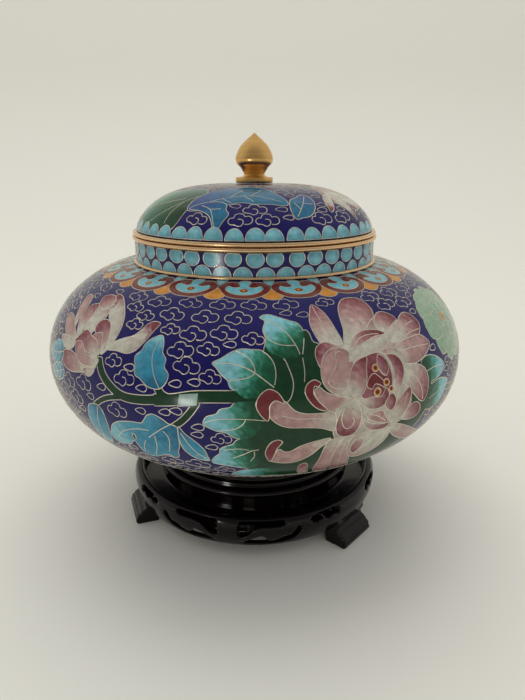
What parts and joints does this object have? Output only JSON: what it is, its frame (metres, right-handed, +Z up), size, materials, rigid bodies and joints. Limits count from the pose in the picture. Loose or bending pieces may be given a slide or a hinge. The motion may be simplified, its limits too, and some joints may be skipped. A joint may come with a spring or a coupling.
{
  "type": "cloisonne ginger jar",
  "caption": "Squat round enamelled copper ginger jar with a lift-off domed lid and a brass bud finial, standing on a carved dark wooden stand; a small lidded store or ornament.",
  "frame": {"origin": "on the table under the jar's axis, at the level of the stand's feet", "axes": "+Z up along the jar's axis, -Y towards the front of the painted side"},
  "size_m": [0.2, 0.2, 0.1897],
  "materials": {
    "enamel": "fired cloisonne enamel on copper, ground flush and polished",
    "brass": "gilt, soft satin",
    "lacquered_wood": "carved, dark stained and glossy lacquered"
  },
  "bodies": {
    "root": {"jar_body": "enamel", "jar_rim": "brass", "lid_dome": "enamel", "lid_rim": "brass", "finial": "brass", "stand": "lacquered_wood"}
  },
  "joints": []
}
